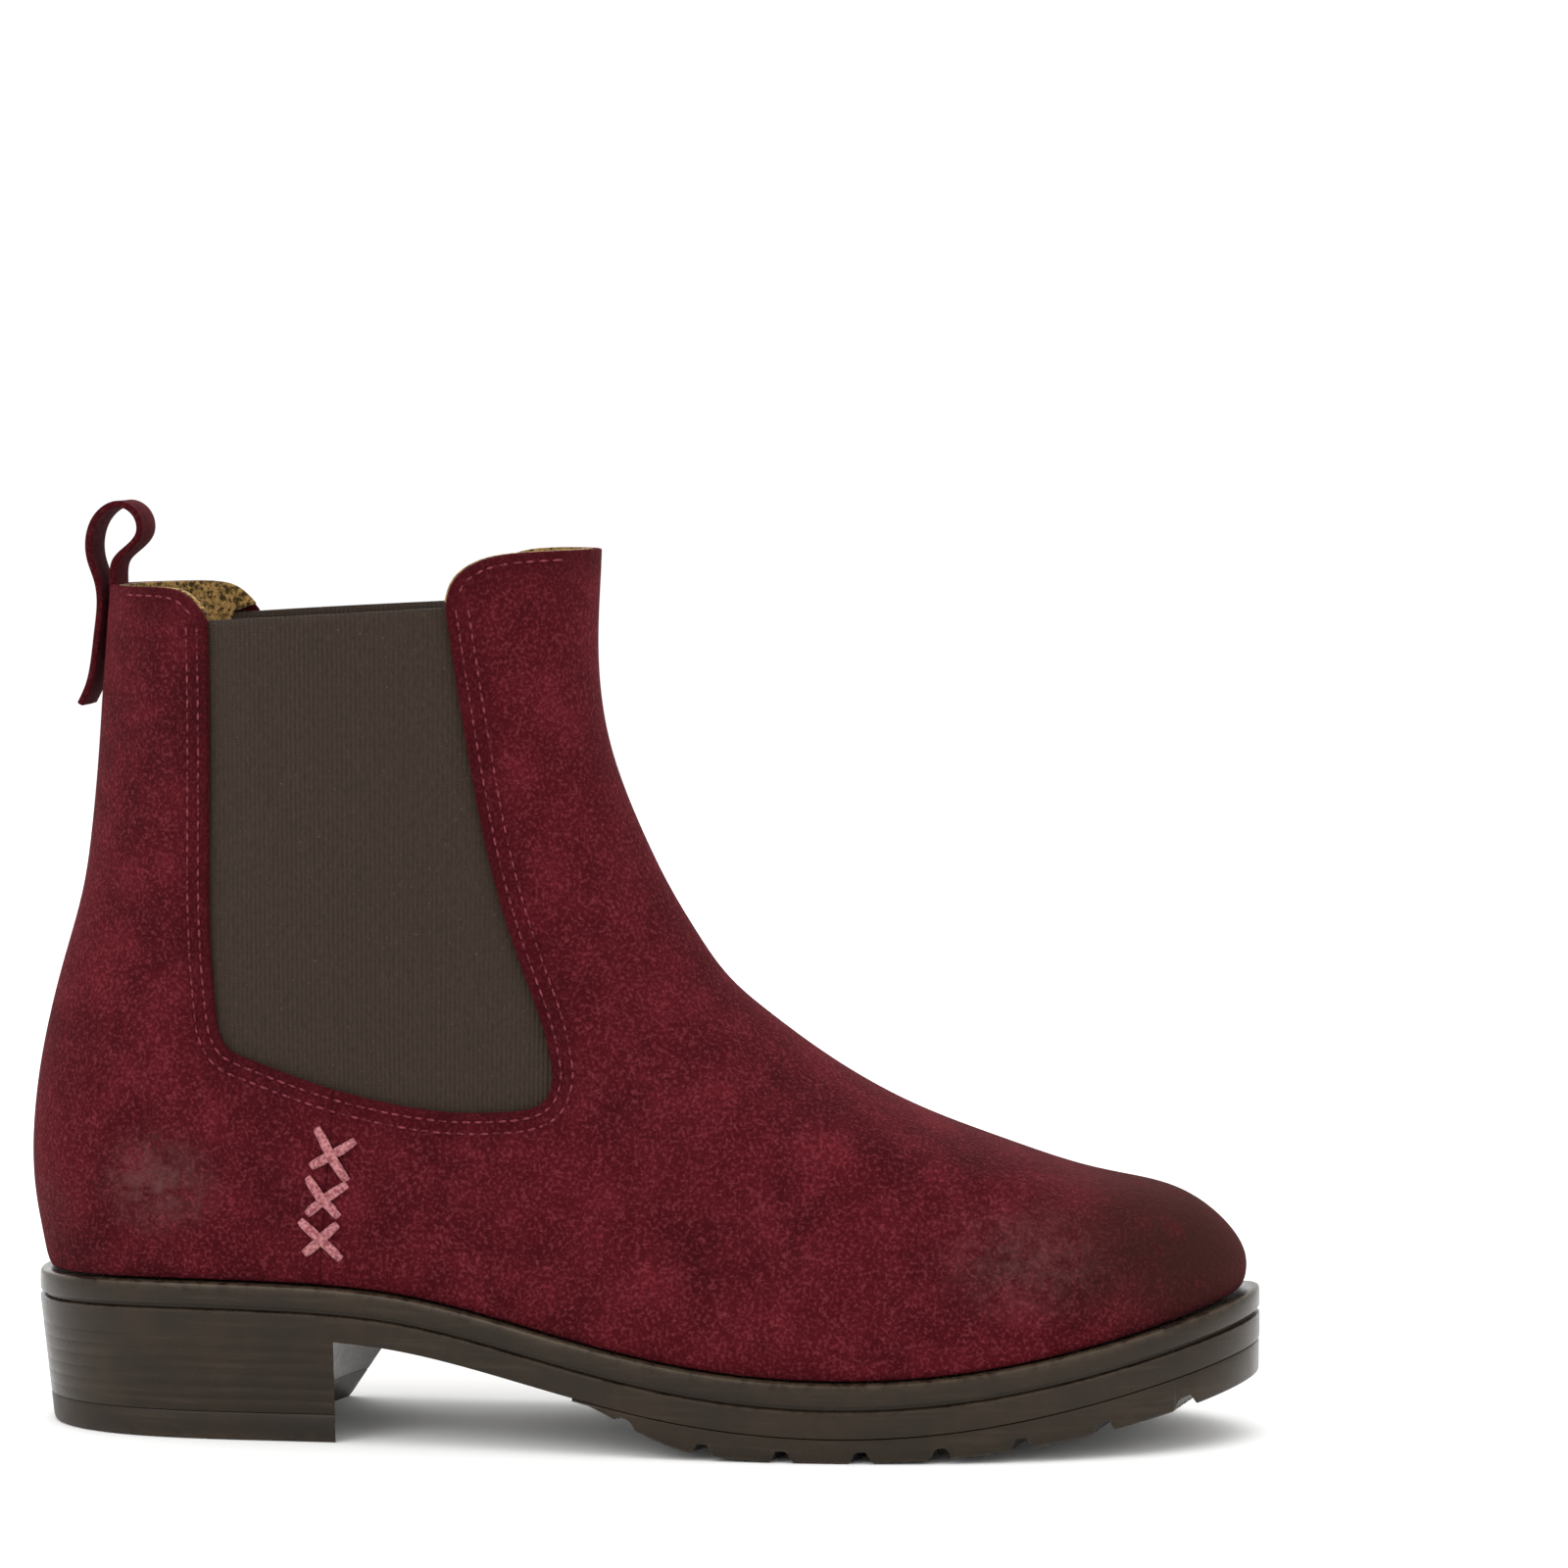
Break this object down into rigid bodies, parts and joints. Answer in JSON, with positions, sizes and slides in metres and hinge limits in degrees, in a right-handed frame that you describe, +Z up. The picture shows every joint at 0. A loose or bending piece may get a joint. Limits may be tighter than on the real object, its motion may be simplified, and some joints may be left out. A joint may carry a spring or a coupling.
{
  "type": "chelsea boot",
  "caption": "Ankle-high right boot with elastic side panels, a back pull loop, crossed decorative stitches and a low block heel.",
  "frame": {"origin": "on the floor, under the middle of the boot's box", "axes": "+X to the toe, +Y to the inner (medial) side, +Z up"},
  "size_m": [0.2776, 0.091, 0.2105],
  "materials": {
    "suede": "nubuck-soft suede, burgundy, burnished darker at the toe",
    "elastic": "woven elastic with fine upright ribs",
    "webbing": "suede-covered webbing",
    "stitch_cord": "flat waxed cord",
    "lining": "brushed textile, tan",
    "stiffener": "thermoplastic sheet",
    "sole_rubber": "semi-gloss dark brown moulded rubber",
    "board": "cellulose insole board",
    "cork": "ground cork filler",
    "foam": "soft foam",
    "steel": "spring steel and nails"
  },
  "bodies": {
    "boot": {"vamp": "suede", "quarter_lateral": "suede", "quarter_medial": "suede", "gore_lateral": "elastic", "gore_medial": "elastic", "pull_loop_tail": "webbing", "cross_stitch_lateral": "stitch_cord", "cross_stitch_medial": "stitch_cord", "vamp_lining": "lining", "quarter_lining": "lining", "sock_lining": "lining", "toe_puff": "stiffener", "heel_counter": "stiffener", "midsole": "sole_rubber", "outsole": "sole_rubber", "forefoot_tread": "sole_rubber", "heel_block": "sole_rubber", "heel_lift": "sole_rubber", "insole_board": "board", "bottom_filler": "cork", "footbed_foam": "foam", "shank": "steel", "heel_nails": "steel"},
    "shaft_front": {"shaft_front": "suede", "shaft_front_lining": "lining"},
    "pull_loop": {"pull_loop": "webbing"}
  },
  "joints": [
    {"name": "shaft_opening", "type": "hinge", "parent": "boot", "child": "shaft_front", "pos_m": [0.00082, 0, 0.143], "axis": [0, 1, 0], "range_deg": [0, 15], "stiffness_Nm_per_rad": 6},
    {"name": "pull_loop_fold", "type": "hinge", "parent": "boot", "child": "pull_loop", "pos_m": [-0.12178, 0.00043, 0.19435], "axis": [0, 1, 0], "range_deg": [-50, 48], "stiffness_Nm_per_rad": 0.01}
  ]
}
